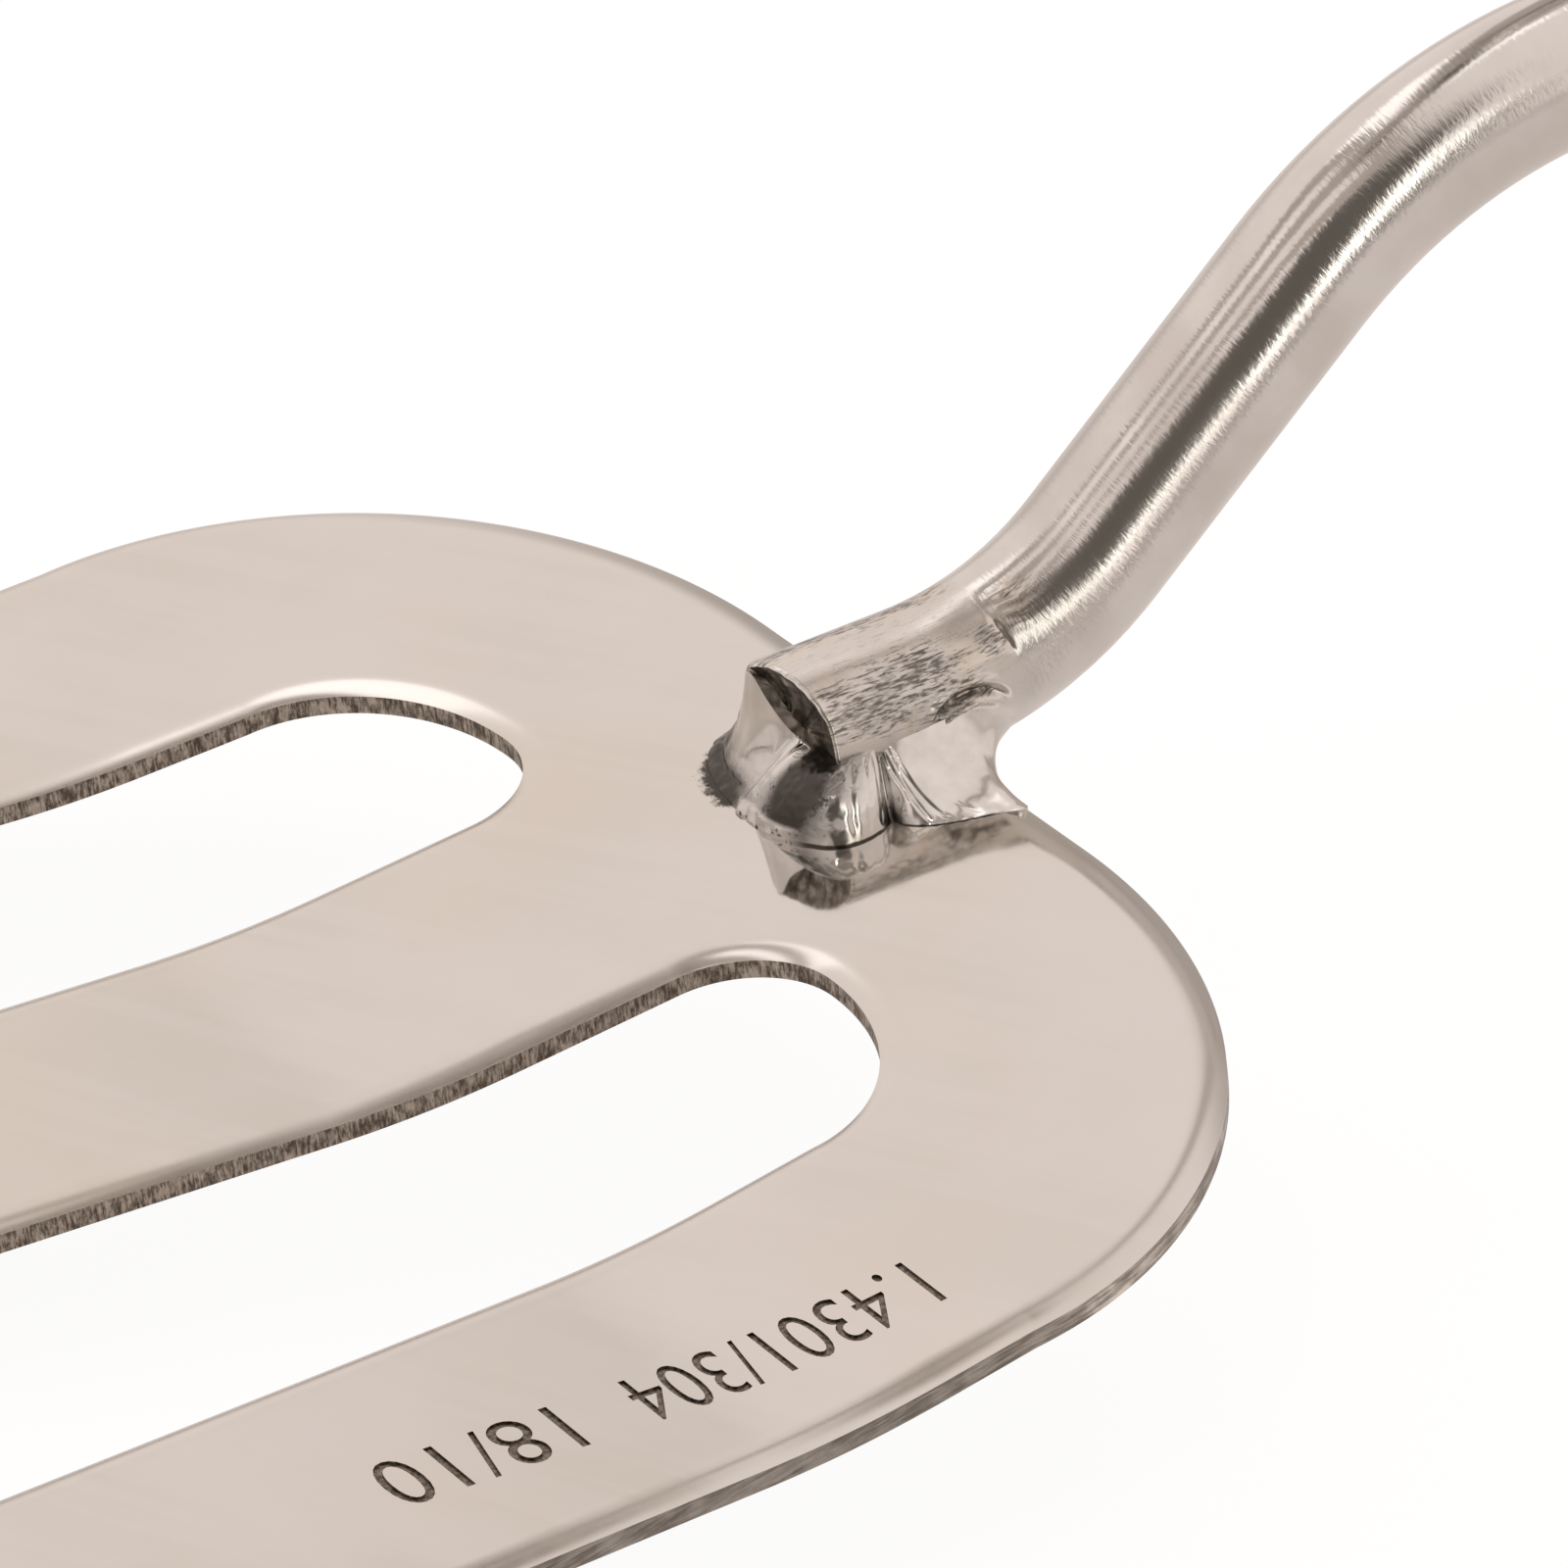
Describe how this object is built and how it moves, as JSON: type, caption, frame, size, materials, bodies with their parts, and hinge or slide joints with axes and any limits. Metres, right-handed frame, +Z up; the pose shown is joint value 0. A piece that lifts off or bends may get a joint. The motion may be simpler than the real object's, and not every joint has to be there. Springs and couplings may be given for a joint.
{
  "type": "frame grip",
  "caption": "Beekeeper's frame grip: crossed steel rod tongs with slotted comb jaws that squeeze and lift a frame out of a hive.",
  "frame": {"origin": "middle of the base of the lying tool, which touches the surface with the lower jaw's tine tips and the lower handle's end", "axes": "+X from the tine tips to the handles, +Y across the jaws to the far side, +Z up"},
  "size_m": [0.339, 0.102, 0.1347],
  "materials": {
    "plate_steel": "polished sheet with rolled edges",
    "rod_steel": "drawn bright, fine cross scratches",
    "weld_metal": "smooth pool with sooty, heat-tinted edges",
    "fastener_steel": "bright, turned",
    "nylon": "matt moulded"
  },
  "bodies": {
    "lower_half": {"lower_jaw_plate": "plate_steel", "lower_arm_rod": "rod_steel", "lower_weld_end": "weld_metal", "lower_weld_near": "weld_metal", "lower_weld_far": "weld_metal", "lower_weld_heel": "weld_metal", "pivot_bolt": "fastener_steel", "head_washer": "fastener_steel", "friction_washer": "fastener_steel", "nut_washer": "fastener_steel", "lock_nut": "fastener_steel", "nylon_insert": "nylon"},
    "upper_half": {"upper_jaw_plate": "plate_steel", "upper_arm_rod": "rod_steel", "upper_weld_end": "weld_metal", "upper_weld_near": "weld_metal", "upper_weld_far": "weld_metal", "upper_weld_heel": "weld_metal"}
  },
  "joints": [
    {"name": "pivot", "type": "hinge", "parent": "lower_half", "child": "upper_half", "pos_m": [0.00569, -0.00001, 0.06082], "axis": [0, 1, 0], "range_deg": [-27.5, 20]}
  ]
}
